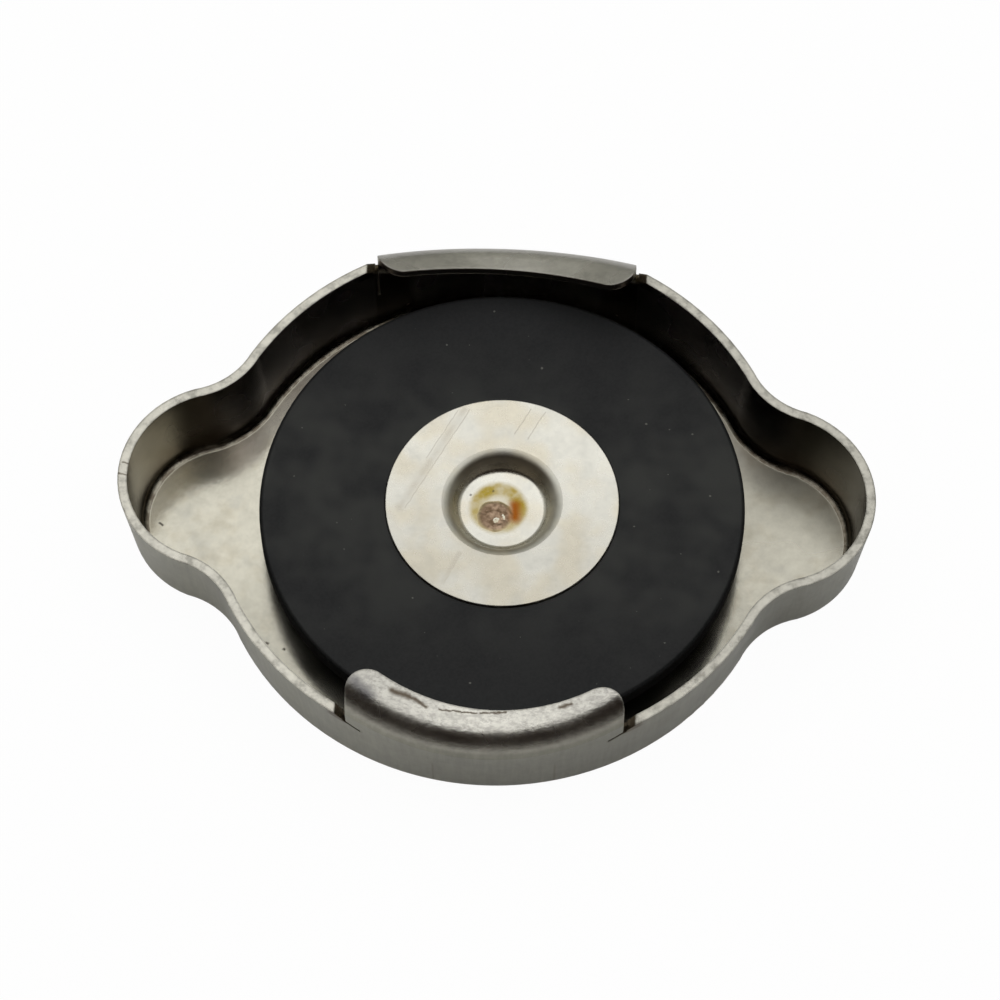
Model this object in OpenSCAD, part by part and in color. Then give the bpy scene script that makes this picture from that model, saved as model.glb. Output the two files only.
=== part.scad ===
// Radiator cap without a pressure valve, lying with its inside up.
// The X axis runs along the ears, and +Z is up.
// The origin is under the middle, on the face that the cap rests on.

/* [Shell] */
// Width across the two ears, outside at the rim
ear_span = 80; // [76:0.5:88]
// Diameter of the round part, outside at the rim
rim_d = 62; // [60:0.5:66]
// Radius of each ear's tip, outside at the rim
ear_r = 11; // [9:0.5:13]
// Radius of the hollow curve between an ear and the round part, outside at the rim
ear_hollow_r = 8.3; // [6:0.1:11]
// Height of the rim above the face that the cap rests on
shell_h = 10.8; // [10:0.1:13]
// Thickness of the shell's sheet
sheet_t = 1; // [0.8:0.05:1.2]
// Outward lean of the wall, in degrees
wall_flare = 4.5; // [2:0.5:7]
// Inside radius of the fold at the foot of the wall
fold_r = 1; // [0.6:0.1:1.6]

/* [Platform] */
// Diameter of the platform's flat top
platform_d = 41; // [36:0.5:42]
// Rise of the platform above the floor
platform_rise = 3.8; // [3.6:0.1:4.4]
// Inside radius of the platform's two bends
platform_bend_r = 1; // [0.6:0.1:1]

/* [Tabs] */
// Width of each tab
tab_w = 28.2; // [24:0.2:32]
// Distance between the two lips, across the middle of the cap
lip_gap_d = 53.3; // [52.4:0.1:54]
// Sideways shift of each lip's round edge, which leaves one end of the lip shorter
lip_shift = 1; // [0:0.1:1.5]
// Outside radius of the tab's bend
tab_bend_r = 3; // [2.6:0.1:3.4]
// How far the bend stands proud of the wall's line at the middle of the tab, before it is trimmed flush
tab_proud = 0.08; // [0.04:0.01:0.12]
// Height of the bend's centre at the middle of the tab, below the rim
tab_bend_drop = 1.7; // [1.4:0.1:2]
// How much lower the back tab is bent than the front tab
back_tab_drop = 1.2; // [0:0.1:1.6]
// Radius of the arc that the bend's centre follows
tab_sweep_r = 24; // [22:0.5:28]
// Tilt of that arc's plane, in degrees: the tab's ends stand higher than its middle
tab_tilt = 41; // [36:1:44]
// Rise of the lip towards the cap's middle, in degrees
lip_rise = 10; // [4:1:14]
// Radius of the lip's corners
lip_corner_r = 2.5; // [1.2:0.1:3]
// Width of the notch on each side of a tab
notch_w = 1.25; // [0.8:0.05:2]
// Width of the relief slit that runs from the notch under the tab's end
slit_w = 0.4; // [0.3:0.05:0.6]
// Length of the relief slit
slit_l = 1.8; // [1:0.1:2.6]
// Downward slope of the notch and the relief slit, in degrees
slit_drop = 30; // [15:5:45]

/* [Gasket] */
// Diameter of the gasket
gasket_d = 51.7; // [48:0.1:52.2]
// Thickness of the gasket
gasket_t = 2.3; // [2.2:0.1:2.8]
// Rounding of the gasket's outer edges
gasket_edge_r = 0.3; // [0.1:0.05:0.6]
// How deep the retainer is pressed into the gasket
gasket_bite = 0.4; // [0.2:0.05:0.4]

/* [Retainer] */
// Diameter of the retainer disc
retainer_d = 24.8; // [20:0.2:32]
// Thickness of the retainer's sheet
retainer_t = 0.7; // [0.5:0.05:0.75]
// Diameter of the cup's flat floor
cup_floor_d = 8.4; // [6:0.1:11]
// Inside radius of the cup's two bends
cup_bend_r = 0.8; // [0.4:0.05:0.9]
// Slope of the cup's side, in degrees
cup_slope = 55; // [45:1:65]

/* [Fit] */
// Radial clearance of the gasket round the retainer's rim and cup
fit_clearance = 0.15; // [0.1:0.05:0.3]
// Sideways shift of the gasket and the retainer, which are welded a little off the cap's middle
stack_shift = 0.65; // [0:0.05:0.8]

/* [Hidden] */
$fn = 128;

steel_colour = [0.66, 0.65, 0.60];
rubber_colour = [0.18, 0.18, 0.18];
retainer_colour = [0.78, 0.77, 0.72];

// How far two curves overlap where they would otherwise only touch
blend_lap = 0.03;

// Outline of the rim: a round part and two ears, joined by hollow curves
rim_r = rim_d / 2;
ear_x = ear_span / 2 - ear_r;
hollow_to_middle = rim_r + ear_hollow_r - blend_lap;
hollow_to_ear = ear_r + ear_hollow_r - blend_lap;
hollow_x = (hollow_to_middle ^ 2 - hollow_to_ear ^ 2 + ear_x ^ 2) / (2 * ear_x);
hollow_y = sqrt(hollow_to_middle ^ 2 - hollow_x ^ 2);

// Section of the wall: the fold's centre lies inside the rim's edge, and the floor cuts its lowest part off
fold_out_r = fold_r + sheet_t;
fold_z = fold_out_r - blend_lap;
fold_inset = fold_out_r / cos(wall_flare) + (shell_h - fold_z) * tan(wall_flare);
tall = 2 * shell_h;
wall_back = tall * tan(wall_flare) + fold_out_r;

// Levels of the stack on the floor
platform_z = sheet_t + platform_rise;
gasket_top = platform_z + gasket_t;
retainer_z = gasket_top - gasket_bite;
platform_foot_r = platform_d / 2 + 2 * platform_bend_r + sheet_t;
platform_lap = 1.2;

// Section of the retainer's cup: the floor and the disc cut the highest and lowest parts of the bends off
cup_depth = retainer_z - platform_z;
cup_floor_r = cup_floor_d / 2;
cup_bends = 2 * cup_bend_r + retainer_t;
cup_side_l = (cup_depth + 2 * blend_lap - cup_bends * (1 - cos(cup_slope))) / sin(cup_slope);
cup_mouth_r = cup_floor_r + cup_bends * sin(cup_slope) + cup_side_l * cos(cup_slope);
cup_bend_cut = sqrt((cup_bends - blend_lap) * blend_lap);

// Tabs
TABS = [[0, 0], [180, back_tab_drop]];
tab_sweep_half = 50;
lip_r = lip_gap_d / 2;
lip_l = 3 * tab_bend_r;
corner_x = tab_w / 2 - lip_corner_r + blend_lap;
corner_to_middle = lip_r + lip_corner_r - blend_lap;
notch_z = shell_h - notch_w * tan(slit_drop);

// Place of a tab's bend, and the level where the tab leaves the wall, for a tab bent lower by this drop
function tab_bend_z(drop) = shell_h - tab_bend_drop - drop;
function tab_bend_y(drop) = rim_r - (tab_bend_drop + drop) * tan(wall_flare) + tab_proud - tab_bend_r;
function tab_root_z(drop) = tab_bend_z(drop) - tab_bend_r + sheet_t;

// Centre of the lip's round corner on one side of the front tab
function lip_corner(side) =
    [side * corner_x, -sqrt(corner_to_middle ^ 2 - (side * corner_x - lip_shift) ^ 2)];

// Section of a sheet bent through a right angle, from +X to +Y round the origin
module quarter_bend(r, t) {
    intersection() {
        difference() {
            circle(r + t);
            circle(r);
        }
        square(2 * (r + t));
    }
}

// Half section of the platform: a foot that laps over the floor, bend, upright side, bend, flat top
module platform_section() {
    flat_r = platform_d / 2;
    bend_r = platform_bend_r;
    translate([platform_foot_r, 0]) square([platform_lap, sheet_t]);
    translate([platform_foot_r, sheet_t + bend_r]) rotate(180) quarter_bend(bend_r, sheet_t);
    translate([flat_r + bend_r, sheet_t + bend_r]) square([sheet_t, platform_rise - sheet_t - 2 * bend_r]);
    translate([flat_r, platform_rise - bend_r]) quarter_bend(bend_r, sheet_t);
    translate([0, platform_rise]) square([flat_r, sheet_t]);
}

// Half section of the retainer, above the cup's underside: floor, bend, sloping side, bend, flat disc
module retainer_section() {
    out_r = cup_bend_r + retainer_t;
    square([cup_floor_r + cup_bend_cut, retainer_t]);
    intersection() {
        translate([cup_floor_r, 0]) square([cup_mouth_r - cup_floor_r, cup_depth + retainer_t]);
        translate([cup_floor_r, out_r - blend_lap]) rotate(cup_slope - 90) {
            rotate(-90) quarter_bend(cup_bend_r, retainer_t);
            translate([cup_bend_r, 0]) square([retainer_t, cup_side_l]);
            translate([cup_bend_r + out_r, cup_side_l]) rotate(90) quarter_bend(cup_bend_r, retainer_t);
        }
    }
    translate([cup_mouth_r - cup_bend_cut, cup_depth])
        square([retainer_d / 2 - cup_mouth_r + cup_bend_cut, retainer_t]);
}

// What lies inside a skin of the wall, round the fold's centre: half a disc, and the leaning wall above it
module fold_and_wall(skin_r) {
    rotate(-wall_flare) {
        intersection() {
            circle(skin_r);
            translate([-2 * skin_r, -2 * skin_r]) square([4 * skin_r, 2 * skin_r]);
        }
        translate([-wall_back, 0]) square([wall_back + skin_r, 2 * tall]);
    }
}

// Half section of what lies inside a skin whose outer edge at the rim has this radius
module inside_section(edge_r, skin_r, base_z, top_z) {
    intersection() {
        translate([0, base_z]) square([2 * edge_r, top_z - base_z]);
        union() {
            translate([0, -sheet_t]) square([edge_r - fold_inset, 2 * tall]);
            translate([edge_r - fold_inset, fold_z]) fold_and_wall(skin_r);
        }
    }
}

// Half section of what lies outside a skin, round the centre of a hollow curve
module outside_section(edge_r, skin_r) {
    difference() {
        translate([0, -sheet_t]) square([edge_r + fold_inset, 2 * tall]);
        translate([edge_r + fold_inset, fold_z]) mirror([1, 0]) fold_and_wall(skin_r);
    }
}

// Plan of the ground between the round part and an ear, out to the centres of the two hollow curves
module web_plan() {
    polygon([
        [hollow_x / 2, hollow_y / 2],
        [hollow_x, hollow_y],
        [ear_x, 0],
        [hollow_x, -hollow_y],
        [hollow_x / 2, -hollow_y / 2]
    ]);
}

// Everything inside a skin of the shell, from one level to another
module inside_skin(skin_r, base_z, top_z) {
    difference() {
        union() {
            rotate_extrude() inside_section(rim_r, skin_r, base_z, top_z);
            for (turn = [0, 180]) rotate([0, 0, turn]) {
                translate([ear_x, 0, 0]) rotate_extrude() inside_section(ear_r, skin_r, base_z, top_z);
                translate([0, 0, base_z]) linear_extrude(top_z - base_z) web_plan();
            }
        }
        for (x = [-hollow_x, hollow_x], y = [-hollow_y, hollow_y])
            translate([x, y, 0]) rotate_extrude() outside_section(ear_hollow_r, skin_r);
    }
}

module dish() {
    difference() {
        inside_skin(fold_out_r, 0, shell_h);
        inside_skin(fold_r, sheet_t, tall);
        translate([0, 0, -sheet_t]) cylinder(h = 3 * sheet_t, r = platform_foot_r + platform_lap / 2);
    }
    rotate_extrude() platform_section();
}

// Sweeps a section drawn round the bend's centre along the tilted arc that the front tab's bend follows
module tab_sweep(drop) {
    translate([0, -tab_bend_y(drop), tab_bend_z(drop)])
        rotate([tab_tilt, 0, 0])
            translate([0, tab_sweep_r, 0])
                rotate([0, 0, 270 - tab_sweep_half])
                    rotate_extrude(angle = 2 * tab_sweep_half)
                        translate([tab_sweep_r, 0])
                            rotate(tab_tilt)
                                children();
}

// Plan of the front tab: straight sides, a round inner edge and round corners
module tab_plan() {
    intersection() {
        translate([-tab_w / 2, -2 * rim_r]) square([tab_w, 2 * rim_r]);
        difference() {
            union() {
                far = -2 * rim_r;
                polygon([[0, 0], lip_corner(1), [corner_x, far], [-corner_x, far], lip_corner(-1)]);
                for (side = [-1, 1]) translate(lip_corner(side)) {
                    circle(lip_corner_r);
                    translate([-lip_corner_r, -2 * rim_r]) square([2 * lip_corner_r, 2 * rim_r]);
                }
            }
            translate([lip_shift, 0]) circle(lip_r);
        }
    }
}

// The wall's sheet all round, from this level and running on above the rim
module tall_wall(base_z) {
    rotate_extrude() intersection() {
        translate([0, base_z]) square([2 * rim_r, tall]);
        translate([rim_r - fold_inset, fold_z])
            rotate(-wall_flare)
                translate([fold_r, 0])
                    square([sheet_t, 2 * tall]);
    }
}

// Everything under the middle of the bent sheet
module under_bend() {
    depth = 2 * tab_bend_r;
    circle(tab_bend_r - sheet_t / 2);
    translate([-tab_bend_r, -depth])
        square([2 * tab_bend_r + sheet_t, depth - tab_bend_r * sin(lip_rise) / 2]);
}

module bend_and_lip() {
    inner_r = tab_bend_r - sheet_t;
    rotate(90 - lip_rise) {
        rotate(-90) quarter_bend(inner_r, sheet_t);
        translate([inner_r, 0]) square([sheet_t, lip_l]);
    }
}

// A tab, placed in front: the wall runs on up into the bend, which is trimmed flush with the wall's line
module tab(drop) {
    base_z = tab_root_z(drop);
    intersection() {
        translate([0, 0, base_z]) linear_extrude(tall) tab_plan();
        union() {
            intersection() {
                tall_wall(base_z);
                tab_sweep(drop) under_bend();
            }
            intersection() {
                rotate_extrude() inside_section(rim_r, fold_out_r, 0, tall);
                tab_sweep(drop) bend_and_lip();
            }
        }
    }
}

// Room for a tab, placed in front
module tab_window(drop) {
    translate([-tab_w / 2, -2 * rim_r, tab_root_z(drop)]) cube([tab_w, 1.5 * rim_r, tall]);
}

// The notches beside the front tab: each slopes down from the rim to the tab, where the relief slit goes on
module notches() {
    half = tab_w / 2;
    wide = half + 2 * notch_w;
    wide_z = shell_h + notch_w * tan(slit_drop);
    translate([0, -rim_r / 2, 0]) rotate([90, 0, 0]) linear_extrude(1.5 * rim_r)
        polygon([[-wide, wide_z], [-half, notch_z], [half, notch_z], [wide, wide_z]]);
}

module relief_slits() {
    for (flip = [0, 1]) mirror([flip, 0, 0])
        translate([-tab_w / 2, -2 * rim_r, notch_z])
            rotate([0, slit_drop, 0])
                translate([-slit_w, 0, -slit_w / 2])
                    cube([slit_w + slit_l, 1.5 * rim_r, slit_w]);
}

module cap_shell() {
    color(steel_colour) difference() {
        union() {
            difference() {
                dish();
                for (place = TABS) rotate([0, 0, place[0]]) {
                    tab_window(place[1]);
                    notches();
                }
            }
            for (place = TABS) rotate([0, 0, place[0]]) tab(place[1]);
        }
        for (place = TABS) rotate([0, 0, place[0]]) relief_slits();
    }
}

module sealing_gasket() {
    r = gasket_d / 2;
    e = gasket_edge_r;
    color(rubber_colour) translate([stack_shift, 0, platform_z]) rotate_extrude() difference() {
        union() {
            square([r - e, gasket_t]);
            translate([0, e]) square([r, gasket_t - 2 * e]);
            for (z = [e, gasket_t - e]) translate([r - e, z]) circle(e);
        }
        square([cup_mouth_r + fit_clearance, gasket_t]);
        translate([0, gasket_t - gasket_bite]) square([retainer_d / 2 + fit_clearance, gasket_bite]);
    }
}

module retainer_disc() {
    color(retainer_colour) translate([stack_shift, 0, platform_z]) rotate_extrude() retainer_section();
}

cap_shell();
sealing_gasket();
retainer_disc();
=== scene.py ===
"""Radiator cap without a pressure valve, inside up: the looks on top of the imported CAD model."""

import math

import bmesh
import bpy
from mathutils import Matrix, Vector, noise


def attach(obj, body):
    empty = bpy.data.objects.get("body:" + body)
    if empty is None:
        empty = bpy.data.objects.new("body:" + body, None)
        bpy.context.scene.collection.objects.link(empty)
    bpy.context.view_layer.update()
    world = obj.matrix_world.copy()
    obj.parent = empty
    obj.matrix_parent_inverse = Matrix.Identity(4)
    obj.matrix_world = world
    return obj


MM = 0.001
WHITE = (1, 1, 1, 1)

# Camera, fitted to the outlines in the photograph
AIM_MM = (0.409, 0.294, 7.1)
DISTANCE_MM = 343.944
ELEVATION_DEG = 61.82
AZIMUTH_DEG = 2.307
ROLL_DEG = 0.185
LENS_MM = 116.32
SENSOR_MM = 36

# Studio: a bright dome, a pale floor, and dark cards round the cap that the camera doesn't see
DIFFUSE_DOME = 1.9
FLOOR_HALF_M = 3.0
FLOOR_DROP_MM = 0.02
FLOOR_COLOUR = (0.82, 0.82, 0.80, 1)
FLOOR_WHITE_TO_CAMERA = 0.97
FLOOR_WHITE_TO_GLOSS = 0.15
CARD_DISTANCE_M = 0.7
CARD_COLUMNS = 72
CARD_ROWS = 16
CARD_TOP_DEG = 44
CARD_FRONT_DEG = -90
CARD_FRONT_TOP_DEG = 74
CARD_FRONT_HALF_DEG = 42
CARD_FADE_DEG = 25
CARD_FRONT_COLOUR = (0.040, 0.032, 0.026, 1)
CARD_FRONT_FOOT_COLOUR = (0.22, 0.21, 0.19, 1)
CARD_BACK_COLOUR = (0.36, 0.36, 0.33, 1)

# Where the cards' colours fade, as shares of their distance: up from the foot, and from front to back
CARD_FOOT_FADE = (0.22, 0.5)
CARD_BACK_FADE = (-0.45, 0.1)

# Sizes of the cap that the materials and the weld follow, as in the CAD source
STACK_SHIFT_MM = 0.65
RIM_Z_MM = 10.8
TAB_HALF_MM = 14.1
LIP_R_MM = 26.65
GASKET_R_MM = 25.85
CUP_FLOOR_Z_MM = 5.5

# Colours of the metal and the rubber, linear
FLOOR_STEEL = (0.63, 0.605, 0.505, 1)
# The inner walls' colours are darker partly by a tint and partly by painted shade
INNER_WALL_STEEL = (0.40, 0.355, 0.365, 1)
EAR_WALL_STEEL = (0.21, 0.187, 0.14, 1)
# The outer wall is darker partly as a dull finish and partly by painted shade
OUTER_WALL_STEEL = (0.245, 0.24, 0.205, 1)
EDGE_STEEL = (0.61, 0.59, 0.515, 1)
# Painted shade where the rim's edges round over
EDGE_PAINTED_SHADE = (0.22, 0.21, 0.175, 1)
LIP_STEEL = (0.80, 0.78, 0.70, 1)
LIP_DULL = (0.57, 0.55, 0.50, 1)
# A painted dark reflection on the lips
LIP_PAINTED_REFLECTION = (0.16, 0.155, 0.165, 1)
DISC_STEEL = (0.78, 0.765, 0.685, 1)
DISC_WARM = (0.71, 0.665, 0.545, 1)
DISC_BAND = (0.50, 0.46, 0.385, 1)
# Tarnish, also used for painted shade in the shell's folds and recesses and on the cup's back wall
TARNISH_AND_SHADE = (0.10, 0.075, 0.05, 1)
STAIN = (0.46, 0.41, 0.30, 1)
GREY_FILM = (0.36, 0.36, 0.335, 1)
PIT = (0.05, 0.04, 0.03, 1)
RUBBER = (0.0066, 0.0072, 0.008, 1)
# The rubber's bloom, lightened at the gasket's left and right as painted light
RUBBER_WORN_AND_LIT = (0.023, 0.024, 0.0215, 1)
DUST = (0.16, 0.155, 0.135, 1)
RUST = (0.32, 0.095, 0.012, 1)
HEAT_YELLOW = (0.37, 0.26, 0.004, 1)
WELD_GREY = (0.48, 0.34, 0.235, 1)
WELD_DARK = (0.17, 0.11, 0.065, 1)
WELD_EDGE = (0.62, 0.52, 0.29, 1)

# Depth of each material's grain, and the radius that its edges look rounded by
SHELL_GRAIN_MM = 0.02
DISC_GRAIN_MM = 0.006
RUBBER_GRAIN_MM = 0.012
WELD_GRAIN_MM = 0.03
SHELL_EDGE_MM = 0.3
DISC_EDGE_MM = 0.12

# Places where the shell's zones fade in, in mm: nothing at the first number and all at the second
TAB_FADE_MM = (22.4, 23.4)
NOTCH_FADE_MM = (20, 21)
NOTCH_FLOOR_FADE_MM = (9.5, 9.8)
GROOVE_FADE_MM = (24, 25)
EAR_FADE_MM = (25, 34)
LOW_WALL_FADE_MM = (6.0, 2.2)
LIP_FADE_MM = (6.5, 7.5)
FOLD_FADE_MM = (2.4, 1.9)
FOOT_FADE_MM = (1.6, 1.3)
FLOOR_FADE_MM = (2.0, 1.5)

# Slopes where they fade in, as the upward part of the normal
STEEP_SLOPE = (0.75, 0.35)
FLAT_SLOPE = (0.6, 0.9)
LIP_SLOPE = (0.3, 0.7)
LIP_TURN_SLOPE = (0.98, 0.82)
FOLD_SLOPES = ((0.97, 0.8), (0.1, 0.35))
FOOT_SLOPES = ((0.9995, 0.98), (0.6, 0.8))

# Painted light and shade that change the shell's brightness over a zone: the axis, start and end in mm,
# and the change
SHELL_PAINTED_LIGHT = (
    ("floor", "y", -2, -15, -0.22),
    ("outside", "x", -3, -14, 0.22),
    ("inside", "x", 18, 30, -0.6),
    ("lip", "x", -1, -11, -0.16),
    ("lip", "y", -5, 5, -0.12),
)

# Dirt and painted shade in the shell's zones: two values of the blotch noise and the darkening at each, or
# the darkening alone
# fold and foot: dirt and painted shade; low_wall: painted shade, darker towards the bottom of the inner
# walls
BLOTCHED_DIRT_AND_SHADE = {
    "fold": (0.3, 0.6, 0.25, 0.9),
    "foot": (0.35, 0.6, 0.5, 0.9),
    "low_wall": (0.3, 0.6, 0.4, 0.75),
}
# Painted shade alone: under the lips, in the slits beside the tabs and in the notches
PLAIN_PAINTED_SHADE = {"lip_edge": 0.85, "notch": 0.92}

# Roughness that a zone of the shell adds to the sheet's own
ZONE_ROUGHNESS = {"outside": 0.16, "inside": 0.07, "rim_edge": 0.12, "lip": 0.07}

# Marks that the photograph shows, in mm: each line has a start, an end and half its width
# The lip's creases are drawn as tarnish and painted shade
LIP_CREASES = (
    ((-9.4, -25.5), (-7.6, -25.9), 0.55),
    ((-7.6, -25.9), (-5.9, -26.7), 0.36),
    ((7.6, -26.4), (8.7, -26.1), 0.36),
)
LIP_SCRATCHES = (
    ((-0.45, -27.0), (2.1, -26.85), 0.2),
    ((-4.6, -26.9), (-0.8, -27.0), 0.14),
)
# A painted dark reflection at the left end of the front lip
LIP_PAINTED_REFLECTION_MARK = ((-13.1, -25.3), (-11.8, -26.3), 1.4)
FLOOR_PITS = (
    ((-36.4, -0.9), (-36.0, -1.1), 0.22),
    ((-23.7, -14.7), (-23.6, -14.8), 0.22),
    ((-21.9, -15.3), (-21.8, -15.4), 0.24),
)
# The rim's kinks are drawn as lines of painted shade
RIM_KINKS = (
    ((-39.6, 1.1), (-38.4, 0.9), 0.16),
    ((-40.2, -0.2), (-38.6, -0.5), 0.18),
)
WALL_SCRATCH_X_MM = (-5.2, 7.3)
WALL_SCRATCH_HALF_MM = 0.2
DISC_BANDS = (
    ((-3.9, 11.0), (-10.2, -1.2), 0.75),
    ((-3.6, -6.4), (-5.2, -9.9), 0.45),
)
DISC_SCRATCHES = (
    ((-3.3, 11.1), (-9.6, -1.2), 0.12),
    ((-4.6, 10.9), (-7.7, 4.9), 0.10),
    ((3.3, 11.4), (1.6, 8.2), 0.12),
    ((4.8, 11.1), (3.1, 7.7), 0.12),
    ((-3.4, -6.4), (-5.0, -9.9), 0.10),
)
CUP_SPECKS = (
    ((-2.8, 1.6), (-2.75, 1.65), 0.2),
    ((-0.4, 2.2), (-0.35, 2.25), 0.16),
)
RUST_MARK = ((2.0, 0.6), (2.1, -0.9), 1.1)
HEAT_RING_MM = (0.25, 0.15)
HEAT_RING_R_MM = 2.65

# Weld in the cup: its middle, size and mesh, and a raised ring at a share of its radius
WELD_MM = (-0.1, -0.85)
WELD_R_MM = 2.15
WELD_ASPECT = 0.92
WELD_RISE_MM = 0.10
WELD_SUNK_MM = 0.2
WELD_EDGE_DROP_MM = 0.01
WELD_RING_SHARE = 0.72
WELD_RING_WIDTH = 0.16
WELD_RIM_WIDTH = 0.22
WELD_RAGGED = 0.12
WELD_LOBES = 1.6
WELD_RINGS = 28
WELD_SPOKES = 84


class Tree:
    """A node tree with short calls that add a node and join its inputs."""

    def __init__(self, owner):
        owner.use_nodes = True
        self.nodes = owner.node_tree.nodes
        self.links = owner.node_tree.links
        self.nodes.clear()

    def put(self, socket, value):
        if isinstance(value, bpy.types.NodeSocket):
            self.links.new(value, socket)
        else:
            socket.default_value = value

    def add(self, kind, inputs=None, **settings):
        node = self.nodes.new(kind)
        for name, value in settings.items():
            setattr(node, name, value)
        for socket, value in (inputs or {}).items():
            self.put(node.inputs[socket], value)
        return node

    def math(self, operation, a, b=0.0, clamp=False):
        inputs = {0: a, 1: b}
        return self.add("ShaderNodeMath", inputs, operation=operation, use_clamp=clamp).outputs[0]

    def chain(self, operation, first, *others):
        result = first
        for other in others:
            result = self.math(operation, result, other)
        return result

    def times(self, *factors):
        return self.chain("MULTIPLY", *factors)

    def total(self, *terms):
        return self.chain("ADD", *terms)

    def most(self, *values):
        return self.chain("MAXIMUM", *values)

    def without(self, mask):
        return self.math("SUBTRACT", 1.0, mask)

    def more(self, mask, amount):
        """A factor that is 1 where the mask is 0, and 1 plus the amount where it is 1."""
        return self.total(1.0, self.times(mask, amount))

    def ramp(self, value, low, high, start=0.0, end=1.0):
        """A smooth step of value: start at low and before it, end at high and after it."""
        inputs = {"Value": value, "From Min": low, "From Max": high, "To Min": start, "To Max": end}
        return self.add("ShaderNodeMapRange", inputs, interpolation_type="SMOOTHSTEP").outputs[0]

    def around_one(self, value, swing):
        """A noise value turned into a factor that swings round 1."""
        inputs = {"Value": value, "From Min": 0.25, "From Max": 0.75}
        inputs.update({"To Min": 1 - swing, "To Max": 1 + swing})
        return self.add("ShaderNodeMapRange", inputs).outputs[0]

    def mix(self, factor, a, b):
        node = self.add("ShaderNodeMix", data_type="RGBA")
        for index, value in ((0, factor), (6, a), (7, b)):
            self.put(node.inputs[index], value)
        return node.outputs[2]

    def vector_math(self, operation, inputs):
        return self.add("ShaderNodeVectorMath", inputs, operation=operation).outputs

    def distance(self, a, b):
        return self.vector_math("DISTANCE", {0: a, 1: b})["Value"]

    def shade(self, colour, amount):
        """The colour times a grey amount."""
        return self.vector_math("SCALE", {0: colour, "Scale": amount})[0]

    def stretch(self, vector, scale):
        inputs = {"Vector": vector, "Scale": scale}
        return self.add("ShaderNodeMapping", inputs, vector_type="TEXTURE").outputs[0]

    def noise(self, vector, size_mm, detail=2.0, roughness=0.5):
        inputs = {"Vector": vector, "Scale": 1 / size_mm, "Detail": detail, "Roughness": roughness}
        return self.add("ShaderNodeTexNoise", inputs).outputs[0]

    def line(self, place, start, end, half_width):
        """A soft mask round the line between two points of the plan, all in mm."""
        along = Vector(end) - Vector(start)
        run = (*along, 0)
        from_start = self.vector_math("SUBTRACT", {0: place, 1: (*start, 0)})[0]
        dot = self.vector_math("DOT_PRODUCT", {0: from_start, 1: run})["Value"]
        share = self.math("DIVIDE", dot, along.length_squared, clamp=True)
        foot = self.vector_math("SCALE", {0: run, "Scale": share})[0]
        return self.ramp(self.distance(from_start, foot), half_width, 0.0)

    def lines(self, place, marks):
        return self.most(*[self.line(place, *mark) for mark in marks])

    def plan(self, place, wobble_mm, size_mm):
        """The place without its height, shaken by a noise so that lines drawn there are ragged."""
        inputs = {"Vector": place, "Scale": 1 / size_mm, "Detail": 2.0}
        wave = self.add("ShaderNodeTexNoise", inputs).outputs["Color"]
        shake = self.vector_math("SUBTRACT", {0: wave, 1: (0.5, 0.5, 0.5)})[0]
        shaken = self.vector_math("MULTIPLY_ADD", {0: shake, 1: (2 * wobble_mm,) * 3, 2: place})[0]
        return self.vector_math("MULTIPLY", {0: shaken, 1: (1, 1, 0)})[0]

    def place_m(self):
        return self.add("ShaderNodeTexCoord").outputs["Object"]

    def place_mm(self):
        return self.vector_math("SCALE", {0: self.place_m(), "Scale": 1 / MM})[0]

    def axes(self, vector):
        return self.add("ShaderNodeSeparateXYZ", {0: vector}).outputs[:]

    def normal(self):
        return self.add("ShaderNodeNewGeometry").outputs["Normal"]

    def rounded_edges(self, radius_mm):
        """The normal with each sharp edge eased over that radius."""
        return self.add("ShaderNodeBevel", {"Radius": radius_mm * MM}, samples=3).outputs[0]

    def bump(self, height, depth_mm, normal=None):
        """A bump of that depth in mm where height goes from 0 to 1."""
        inputs = {"Height": height, "Strength": 1.0, "Distance": depth_mm * MM}
        if normal is not None:
            inputs["Normal"] = normal
        return self.add("ShaderNodeBump", inputs).outputs[0]

    def surface(self, inputs):
        shader = self.add("ShaderNodeBsdfPrincipled", inputs)
        self.finish(shader.outputs[0])

    def finish(self, shader):
        self.add("ShaderNodeOutputMaterial", {"Surface": shader})


def new_material(name):
    material = bpy.data.materials.new(name)
    return material, Tree(material)


def add_object(name, data):
    obj = bpy.data.objects.new(name, data)
    bpy.context.scene.collection.objects.link(obj)
    return obj


def smooth(value):
    share = min(max(value, 0.0), 1.0)
    return share * share * (3 - 2 * share)


# Camera and studio


def add_camera():
    turn = math.radians(AZIMUTH_DEG)
    lift = math.radians(ELEVATION_DEG)
    roll = math.radians(ROLL_DEG)
    back = Vector((math.sin(turn) * math.cos(lift), -math.cos(turn) * math.cos(lift), math.sin(lift)))
    level = Vector((math.cos(turn), math.sin(turn), 0))
    right = level * math.cos(roll) + back.cross(level) * math.sin(roll)
    data = bpy.data.cameras.new("camera")
    data.lens = LENS_MM
    data.sensor_width = SENSOR_MM
    camera = add_object("camera", data)
    camera.matrix_world = Matrix((right, back.cross(right), back)).transposed().to_4x4()
    camera.location = (Vector(AIM_MM) + back * DISTANCE_MM) * MM
    bpy.context.scene.camera = camera


def add_world():
    """White to the camera and to reflections, and the dome's plain light to everything else."""
    world = bpy.data.worlds.new("studio")
    bpy.context.scene.world = world
    t = Tree(world)
    ray = t.add("ShaderNodeLightPath").outputs
    seen = t.most(ray["Is Camera Ray"], ray["Is Glossy Ray"], ray["Is Transmission Ray"])
    light = t.add("ShaderNodeBackground", {"Color": WHITE, "Strength": DIFFUSE_DOME}).outputs[0]
    white = t.add("ShaderNodeBackground", {"Color": WHITE, "Strength": 1.0}).outputs[0]
    both = t.add("ShaderNodeMixShader", {0: seen, 1: light, 2: white}).outputs[0]
    t.add("ShaderNodeOutputWorld", {"Surface": both})


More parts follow.
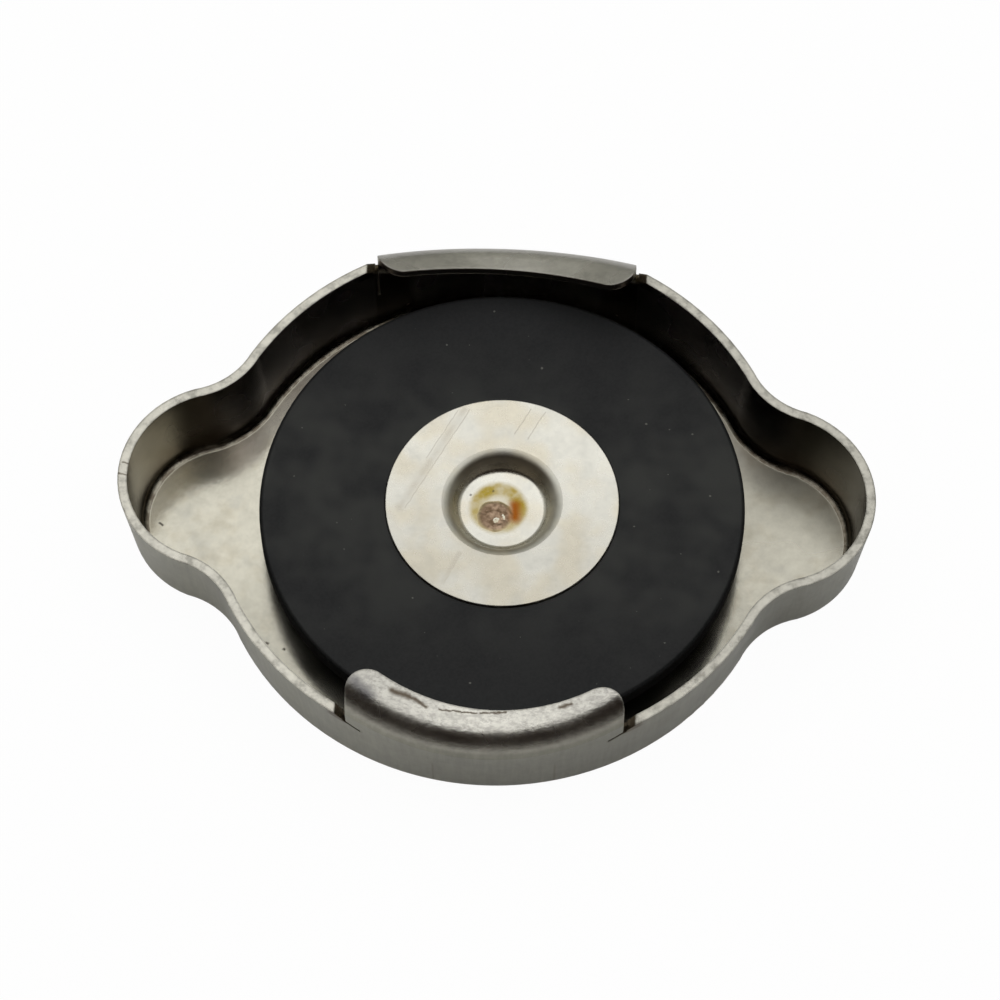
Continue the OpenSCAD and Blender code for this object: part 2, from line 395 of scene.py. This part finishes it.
def floor_material():
    """A pale floor that is almost plain white to the camera, and partly so in reflections."""
    material, t = new_material("floor")
    ray = t.add("ShaderNodeLightPath").outputs
    to_camera = t.times(ray["Is Camera Ray"], FLOOR_WHITE_TO_CAMERA)
    gloss = t.most(ray["Is Glossy Ray"], ray["Is Transmission Ray"])
    share = t.most(to_camera, t.times(gloss, FLOOR_WHITE_TO_GLOSS))
    lit = t.add("ShaderNodeBsdfDiffuse", {"Color": FLOOR_COLOUR}).outputs[0]
    white = t.add("ShaderNodeEmission", {"Color": WHITE, "Strength": 1.0}).outputs[0]
    t.finish(t.add("ShaderNodeMixShader", {0: share, 1: lit, 2: white}).outputs[0])
    return material


def add_floor():
    mesh = bpy.data.meshes.new("floor")
    h = FLOOR_HALF_M
    z = -FLOOR_DROP_MM * MM
    mesh.from_pydata([(-h, -h, z), (h, -h, z), (h, h, z), (-h, h, z)], [], [(0, 1, 2, 3)])
    floor = add_object("floor", mesh)
    mesh.materials.append(floor_material())


def card_material():
    material, t = new_material("studio_cards")
    _, y, z = t.axes(t.place_m())
    above_foot = t.ramp(z, *[share * CARD_DISTANCE_M for share in CARD_FOOT_FADE])
    to_back = t.ramp(y, *[share * CARD_DISTANCE_M for share in CARD_BACK_FADE])
    front = t.mix(above_foot, CARD_FRONT_FOOT_COLOUR, CARD_FRONT_COLOUR)
    colour = t.mix(to_back, front, CARD_BACK_COLOUR)
    t.finish(t.add("ShaderNodeEmission", {"Color": colour, "Strength": 1.0}).outputs[0])
    return material


def card_column(azimuth_deg):
    """Points of the cards from the floor up, on a dome round the cap: high in front and low elsewhere."""
    off_front = abs((azimuth_deg - CARD_FRONT_DEG + 180) % 360 - 180)
    high = smooth((CARD_FRONT_HALF_DEG + CARD_FADE_DEG - off_front) / CARD_FADE_DEG)
    top = CARD_TOP_DEG + (CARD_FRONT_TOP_DEG - CARD_TOP_DEG) * high
    turn = math.radians(azimuth_deg)
    points = []
    for row in range(CARD_ROWS + 1):
        lift = math.radians(top * row / CARD_ROWS)
        out = CARD_DISTANCE_M * math.cos(lift)
        points.append((out * math.cos(turn), out * math.sin(turn), CARD_DISTANCE_M * math.sin(lift)))
    return points


def add_cards():
    """Cards that stand all round the cap, highest where the photographer stood."""
    points = []
    faces = []
    for column in range(CARD_COLUMNS):
        points += card_column(360 * column / CARD_COLUMNS)
        a = column * (CARD_ROWS + 1)
        b = (column + 1) % CARD_COLUMNS * (CARD_ROWS + 1)
        for row in range(CARD_ROWS):
            faces.append((a + row, b + row, b + row + 1, a + row + 1))
    mesh = bpy.data.meshes.new("studio_cards")
    mesh.from_pydata(points, [], faces)
    cards = add_object("studio_cards", mesh)
    mesh.materials.append(card_material())
    cards.visible_camera = False
    cards.visible_shadow = False


# Materials


def shell_zones(t, place, rounded):
    """Masks for the parts of the shell that look different, with the place's axes."""
    x, y, z = t.axes(place)
    nx, ny, nz = t.axes(t.normal())
    across = t.math("ABSOLUTE", x)
    along = t.math("ABSOLUTE", y)
    away = t.total(t.times(nx, x), t.times(ny, y))
    steep = t.ramp(t.math("ABSOLUTE", nz), *STEEP_SLOPE)
    flat = t.ramp(nz, *FLAT_SLOPE)
    inside = t.times(steep, t.ramp(away, 3, -3))

    tab_ends = t.ramp(across, TAB_HALF_MM + 0.1, TAB_HALF_MM - 0.1)
    in_tab = t.times(t.ramp(along, *TAB_FADE_MM), tab_ends)
    off_tab = t.without(in_tab)
    at_lip = t.ramp(along, LIP_R_MM + 1.2, LIP_R_MM + 0.7)
    lip_edge = t.times(inside, in_tab, at_lip)
    groove = t.times(inside, t.ramp(across, TAB_HALF_MM - 0.4, TAB_HALF_MM - 0.2))
    groove = t.times(groove, t.ramp(along, *GROOVE_FADE_MM))
    groove = t.times(groove, t.ramp(across, TAB_HALF_MM + 0.4, TAB_HALF_MM + 0.2))
    by_tab = t.ramp(across, TAB_HALF_MM + 2.2, TAB_HALF_MM + 1.6)
    notch = t.times(t.ramp(along, *NOTCH_FADE_MM), by_tab, off_tab)
    notch = t.times(notch, t.ramp(z, *NOTCH_FLOOR_FADE_MM), t.ramp(z, RIM_Z_MM, RIM_Z_MM - 0.1))
    return {
        "x": x,
        "y": y,
        "z": z,
        "eased_nz": t.axes(rounded)[2],
        "outside": t.times(steep, t.ramp(away, -3, 3)),
        "inside": inside,
        "low_wall": t.times(inside, t.ramp(z, *LOW_WALL_FADE_MM)),
        "ear": t.ramp(across, *EAR_FADE_MM),
        "lip_edge": t.most(lip_edge, groove),
        "notch": notch,
        "rim_edge": t.times(flat, t.ramp(z, RIM_Z_MM - 0.4, RIM_Z_MM - 0.2), off_tab),
        "lip": t.times(in_tab, t.ramp(nz, *LIP_SLOPE), t.ramp(z, *LIP_FADE_MM)),
        "lip_turn": t.ramp(nz, *LIP_TURN_SLOPE),
        "fold": t.times(t.ramp(z, *FOLD_FADE_MM), *[t.ramp(nz, *slope) for slope in FOLD_SLOPES]),
        "foot": t.times(t.ramp(z, *FOOT_FADE_MM), *[t.ramp(nz, *slope) for slope in FOOT_SLOPES]),
        "floor": t.times(flat, t.ramp(z, *FLOOR_FADE_MM)),
    }


def lip_colour(t, zone, ragged, scuffs):
    """Scuffed lips, the front one more than the back one, with a painted dark reflection at one end and
    where they turn down.
    """
    scuffed = t.times(t.ramp(scuffs, 0.3, 0.65, -0.5, 0.5), t.ramp(zone["y"], 5, -5, 0.25, 1.0))
    worn = t.mix(t.total(0.5, scuffed), LIP_DULL, LIP_STEEL)
    # Painted dark reflection at the lip's left end and where the lips turn down
    painted_reflection = t.most(t.times(t.line(ragged, *LIP_PAINTED_REFLECTION_MARK), 0.8), t.times(zone["lip_turn"], 0.5))
    return t.mix(painted_reflection, worn, LIP_PAINTED_REFLECTION)


def clean_shell(t, place, zone, ragged, blotches, scuffs):
    """Bright stained floor, inner walls darker partly by a tint and partly by painted shade and brownish
    in the ears, an outside darker partly as a dull finish and partly by painted shade, and bare edges with
    painted shade where they round over.
    """
    # Inner walls darker than the floor, partly a tint and partly painted shade
    wall = t.mix(zone["ear"], INNER_WALL_STEEL, EAR_WALL_STEEL)
    colour = t.mix(zone["inside"], FLOOR_STEEL, wall)
    stains = t.ramp(t.noise(place, size_mm=3.2, roughness=0.65), 0.48, 0.74)
    colour = t.mix(t.times(zone["floor"], stains, 0.4), colour, STAIN)
    film = t.ramp(t.noise(place, size_mm=4.6, roughness=0.6), 0.52, 0.75)
    colour = t.mix(t.times(zone["floor"], film, 0.35), colour, GREY_FILM)
    # Outer walls: a dull finish and painted shade
    colour = t.mix(zone["outside"], colour, OUTER_WALL_STEEL)
    # Painted shade: the rim darker where its eased normal tilts from straight up
    wavering = t.total(zone["eased_nz"], t.ramp(blotches, 0.3, 0.7, -0.07, 0.05))
    edge = t.mix(t.ramp(wavering, 0.84, 0.985), EDGE_PAINTED_SHADE, EDGE_STEEL)
    colour = t.mix(zone["rim_edge"], colour, edge)
    return t.mix(zone["lip"], colour, lip_colour(t, zone, ragged, scuffs))


def shell_brightness(t, place, zone, clouds, blotches):
    """A factor for the shell's colour: painted light and shade over its zones and on the left inner walls,
    clouds, blotches and brushed walls.
    """
    # Painted light: the whole shell lighter to the left and darker to the right
    painted_light = [t.ramp(zone["x"], 28, -30, 0.87, 1.05)]
    for name, axis, start, end, change in SHELL_PAINTED_LIGHT:
        painted_light.append(t.more(zone[name], t.ramp(zone[axis], start, end, 0.0, change)))
    # Painted shade on the left inner walls between the tab and the ear
    painted_shade_wall = t.times(zone["inside"], t.ramp(zone["x"], -15, -19), t.ramp(zone["x"], -30, -26))
    painted_light.append(t.more(painted_shade_wall, -0.55))
    patches = [t.around_one(clouds, 0.07), t.around_one(blotches, 0.1)]
    brushed = t.noise(t.stretch(place, (0.5, 0.5, 9.0)), size_mm=1.0, roughness=0.6)
    patches.append(t.more(zone["outside"], t.ramp(brushed, 0.3, 0.7, -0.07, 0.06)))
    patches.append(t.more(zone["rim_edge"], t.ramp(blotches, 0.3, 0.65, -0.15, 0.06)))
    return t.times(*painted_light, *patches)


def shell_dirt_and_shade(t, zone, ragged, blotches):
    """A mask for dirt and painted shade in the folds, at the foot of the walls and in the lip's creases,
    painted shade low on the inner walls, under the lips, in the slits, notches and kinks, and scratches.
    """
    layers = [t.times(zone[name], t.ramp(blotches, *fade)) for name, fade in BLOTCHED_DIRT_AND_SHADE.items()]
    layers += [t.times(zone[name], amount) for name, amount in PLAIN_PAINTED_SHADE.items()]
    # Creases: tarnish and painted shade; scratches: wear
    layers.append(t.times(zone["lip"], t.lines(ragged, LIP_CREASES + LIP_SCRATCHES), 0.95))
    # Painted shade across the rim's kinks
    layers.append(t.times(t.lines(ragged, RIM_KINKS), t.ramp(zone["z"], 8.5, 10.5), 0.8))
    for scratch_x in WALL_SCRATCH_X_MM:
        beside = t.math("ABSOLUTE", t.math("SUBTRACT", zone["x"], scratch_x))
        scratch = t.times(zone["outside"], t.ramp(beside, WALL_SCRATCH_HALF_MM, 0.0))
        layers.append(t.times(scratch, t.ramp(zone["z"], 7.5, 5.5), 0.4))
    return t.most(*layers)


def shell_steel():
    """Worn satin sheet steel."""
    material, t = new_material("shell_steel_worn")
    place = t.place_mm()
    rounded = t.rounded_edges(SHELL_EDGE_MM)
    zone = shell_zones(t, place, rounded)
    ragged = t.plan(place, wobble_mm=0.18, size_mm=0.5)
    clouds = t.noise(place, size_mm=6.0, detail=1.0)
    blotches = t.noise(place, size_mm=1.4, detail=3.0, roughness=0.68)
    scuffs = t.noise(t.stretch(place, (0.8, 0.45, 0.45)), size_mm=1.0, roughness=0.7)

    colour = clean_shell(t, place, zone, ragged, blotches, scuffs)
    # The factor holds painted light and shade, besides clouds, blotches and brushed walls
    colour = t.shade(colour, shell_brightness(t, place, zone, clouds, blotches))
    # Dirt and painted shade darken the shell towards the tarnish colour
    colour = t.mix(shell_dirt_and_shade(t, zone, ragged, blotches), colour, TARNISH_AND_SHADE)
    colour = t.mix(t.times(zone["floor"], t.lines(ragged, FLOOR_PITS)), colour, PIT)

    rough = t.ramp(clouds, 0.3, 0.7, 0.15, 0.22)
    rough = t.total(rough, *[t.times(zone[name], amount) for name, amount in ZONE_ROUGHNESS.items()])
    back_right = t.times(t.ramp(zone["x"], 17, 24), t.ramp(zone["y"], -6, 2))
    rough = t.total(rough, t.times(zone["floor"], back_right, 0.14))

    grain = t.noise(place, size_mm=0.55, roughness=0.6)
    grain = t.times(grain, t.total(0.25, t.times(zone["fold"], 1.2)))
    front_lip = t.times(zone["lip"], t.ramp(zone["y"], 5, -5, 0.15, 1.0))
    height = t.total(grain, t.times(front_lip, scuffs, 1.2))
    normal = t.bump(height, SHELL_GRAIN_MM, rounded)
    t.surface({"Base Color": colour, "Metallic": 1.0, "Roughness": rough, "Normal": normal})
    return material


def disc_colour(t, place, ragged, nz, patches):
    """Pale disc with bands and scratches, painted shade towards its front, painted light on its cup's
    floor, and a darker wall at the back of its cup from tarnish and painted shade.
    """
    _, y, z = t.axes(place)
    in_cup = t.ramp(z, CUP_FLOOR_Z_MM + 0.4, CUP_FLOOR_Z_MM + 0.1)
    # Tarnish and painted shade on the cup's wall, strongest at the back
    cup_wall = t.times(t.ramp(nz, 0.95, 0.7), t.ramp(z, 7.35, 6.9), t.ramp(y, 0, 4, 0.1, 0.8))
    warm = t.ramp(t.noise(place, size_mm=4.5), 0.35, 0.65)
    colour = t.mix(warm, DISC_STEEL, DISC_WARM)
    colour = t.mix(cup_wall, colour, TARNISH_AND_SHADE)
    # Painted shade: the disc darker towards the front
    painted_shade_front = t.ramp(y, -11, 11, 0.85, 1.04)
    # Painted light: the cup's floor made 12% lighter
    colour = t.shade(colour, t.times(t.around_one(patches, 0.14), painted_shade_front, t.more(in_cup, 0.12)))
    bands = t.times(t.lines(ragged, DISC_BANDS), t.ramp(patches, 0.3, 0.6, 0.15, 0.5))
    scratches = t.times(t.lines(ragged, DISC_SCRATCHES), 0.6)
    colour = t.mix(t.times(t.most(bands, scratches), t.without(in_cup)), colour, DISC_BAND)
    return cup_stains(t, colour, in_cup, y, ragged, patches)


def cup_stains(t, colour, in_cup, y, ragged, patches):
    """The colour with the heat stain, the rust and the specks on the cup's floor."""
    from_ring = t.distance(ragged, (*HEAT_RING_MM, 0))
    ring = t.ramp(from_ring, HEAT_RING_R_MM + 0.8, HEAT_RING_R_MM)
    ring = t.times(ring, t.ramp(from_ring, 1.0, 2.2, 0.3, 1.0))
    upper = t.ramp(y, -2.2, 1.2, 0.7, 1.0)
    yellow = t.times(in_cup, ring, upper, t.ramp(patches, 0.25, 0.6, 0.5, 1.0))
    colour = t.mix(t.times(yellow, 0.95), colour, HEAT_YELLOW)
    colour = t.mix(t.times(in_cup, t.line(ragged, *RUST_MARK)), colour, RUST)
    specks = t.times(in_cup, t.lines(ragged, CUP_SPECKS), 0.8)
    return t.mix(specks, colour, PIT)


def retainer_steel():
    """Pale satin sheet steel, rougher on the shoulder of the cup and at the disc's edge."""
    material, t = new_material("retainer_steel_worn")
    place = t.place_mm()
    z = t.axes(place)[2]
    nz = t.axes(t.normal())[2]
    ragged = t.plan(place, wobble_mm=0.12, size_mm=0.7)
    patches = t.noise(place, size_mm=2.2, detail=3.0, roughness=0.62)
    colour = disc_colour(t, place, ragged, nz, patches)
    shoulder = t.times(t.ramp(z, 6.2, 6.8), t.ramp(nz, 0.9995, 0.98))
    rough = t.total(t.ramp(patches, 0.3, 0.7, 0.2, 0.3), t.times(shoulder, 0.2))
    grain = t.noise(place, size_mm=0.6, roughness=0.6)
    normal = t.bump(grain, DISC_GRAIN_MM, t.rounded_edges(DISC_EDGE_MM))
    t.surface({"Base Color": colour, "Metallic": 1.0, "Roughness": rough, "Normal": normal})
    return material


def gasket_rubber():
    """Matte charcoal rubber with a faint bloom that painted light makes stronger at its left and right,
    painted shade at its outer edge, and a few pale specks.
    """
    material, t = new_material("gasket_rubber_matte")
    place = t.place_mm()
    _, y, z = t.axes(place)
    bloom = t.ramp(t.noise(place, size_mm=7.0, roughness=0.6), 0.3, 0.7)
    # Painted light: the gasket lighter at its left and right than at its front and back
    painted_light_sides = t.ramp(t.math("ABSOLUTE", y), 22, 6, 0.1, 1.0)
    axis = t.add("ShaderNodeCombineXYZ", {"X": STACK_SHIFT_MM, "Z": z}).outputs[0]
    # Painted shade: the gasket's outer edge darkened
    edge = t.ramp(t.distance(place, axis), GASKET_R_MM - 0.5, GASKET_R_MM - 0.2)
    grain = t.noise(place, size_mm=0.3, roughness=0.65)
    specks = t.ramp(t.noise(place, size_mm=0.5, detail=0.0), 0.845, 0.87)
    colour = t.mix(t.times(bloom, painted_light_sides), RUBBER, RUBBER_WORN_AND_LIT)
    # The outer edge takes 70% painted shade
    colour = t.shade(colour, t.times(t.around_one(grain, 0.25), t.more(edge, -0.7)))
    colour = t.mix(t.times(specks, 0.5), colour, DUST)
    rough = t.total(t.ramp(grain, 0.3, 0.7, 0.55, 0.72), t.times(edge, 0.25))
    normal = t.bump(grain, RUBBER_GRAIN_MM)
    t.surface({"Base Color": colour, "Roughness": rough, "Specular IOR Level": 0.35, "Normal": normal})
    return material


def weld_metal():
    """Burnt grey-brown weld metal with a pale edge, rusty on one side."""
    material, t = new_material("weld_metal_burnt")
    place = t.place_mm()
    patches = t.ramp(t.noise(place, size_mm=0.8, detail=4.0, roughness=0.65), 0.35, 0.65)
    left = t.ramp(t.axes(place)[0], -0.3, -1.5, 0.0, 0.65)
    colour = t.mix(t.times(patches, t.without(left)), WELD_DARK, WELD_GREY)
    out = t.distance(place, (*WELD_MM, CUP_FLOOR_Z_MM))
    colour = t.mix(t.ramp(out, 0.65 * WELD_R_MM, WELD_R_MM), colour, WELD_EDGE)
    rust = t.line(t.plan(place, wobble_mm=0.12, size_mm=0.7), *RUST_MARK)
    colour = t.mix(rust, colour, RUST)
    normal = t.bump(t.noise(place, size_mm=0.35, detail=3.0, roughness=0.7), WELD_GRAIN_MM)
    t.surface({"Base Color": colour, "Metallic": 1.0, "Roughness": 0.35, "Normal": normal})
    return material


# Weld in the retainer's cup


def weld_height(x, y, share):
    """Height of the weld's crater above the cup's floor, in mm, at a share of its radius."""
    ring = math.exp(-(((share - WELD_RING_SHARE) / WELD_RING_WIDTH) ** 2))
    coarse = noise.noise(Vector((x * 1.3, y * 2.6, 0.4)))
    fine = noise.noise(Vector((x * 4.1, y * 4.7, 2.3)))
    ridges = coarse + 0.5 * fine
    edge = smooth((1 - share) / WELD_RIM_WIDTH)
    return WELD_RISE_MM * edge * (0.3 + 0.5 * ring + 0.45 * ridges) - WELD_EDGE_DROP_MM


def weld_place(x, y, z):
    """A point given in mm from the weld's middle on the cup's floor, in the frame's metres."""
    return Vector((WELD_MM[0] + x, WELD_MM[1] + y, CUP_FLOOR_Z_MM + z)) * MM


def weld_point(share, angle):
    """A point on top of the weld at a share of its ragged radius."""
    lobe = Vector((WELD_LOBES * math.cos(angle), WELD_LOBES * math.sin(angle), 5.0))
    out = WELD_R_MM * share * (1 + WELD_RAGGED * noise.noise(lobe))
    x = out * math.cos(angle)
    y = WELD_ASPECT * out * math.sin(angle)
    return weld_place(x, y, weld_height(x, y, share))


def weld_mesh():
    mesh = bmesh.new()
    angles = [2 * math.pi * spoke / WELD_SPOKES for spoke in range(WELD_SPOKES)]
    rows = []
    for ring in range(1, WELD_RINGS + 1):
        share = ring / WELD_RINGS
        rows.append([mesh.verts.new(weld_point(share, angle)) for angle in angles])
    middle = mesh.verts.new(weld_place(0, 0, weld_height(0, 0, 0)))
    under = mesh.verts.new(weld_place(0, 0, -WELD_SUNK_MM))
    for spoke in range(WELD_SPOKES):
        after = (spoke + 1) % WELD_SPOKES
        mesh.faces.new((middle, rows[0][spoke], rows[0][after]))
        mesh.faces.new((under, rows[-1][after], rows[-1][spoke]))
        for inner, outer in zip(rows, rows[1:]):
            mesh.faces.new((inner[spoke], outer[spoke], outer[after], inner[after]))
    for face in mesh.faces:
        face.smooth = True
    data = bpy.data.meshes.new("spot_weld")
    mesh.to_mesh(data)
    mesh.free()
    return data


def add_weld():
    """The spot weld's burnt crater, a closed mesh that reaches a little into the cup's floor."""
    data = weld_mesh()
    weld = add_object("spot_weld", data)
    data.materials.append(weld_metal())
    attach(weld, "root")


def dress(obj, material):
    obj.data.materials.clear()
    obj.data.materials.append(material)


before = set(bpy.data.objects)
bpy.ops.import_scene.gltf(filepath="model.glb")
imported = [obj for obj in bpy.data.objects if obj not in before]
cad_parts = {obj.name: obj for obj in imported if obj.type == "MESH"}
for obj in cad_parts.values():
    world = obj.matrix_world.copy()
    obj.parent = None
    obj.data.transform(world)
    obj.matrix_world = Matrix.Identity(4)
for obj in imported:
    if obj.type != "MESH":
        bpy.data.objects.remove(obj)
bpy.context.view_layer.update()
bpy.context.scene.view_settings.view_transform = "Standard"
add_camera()
add_world()
add_floor()
add_cards()
dress(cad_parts["cap_shell"], shell_steel())
dress(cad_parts["sealing_gasket"], gasket_rubber())
dress(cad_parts["retainer_disc"], retainer_steel())
add_weld()
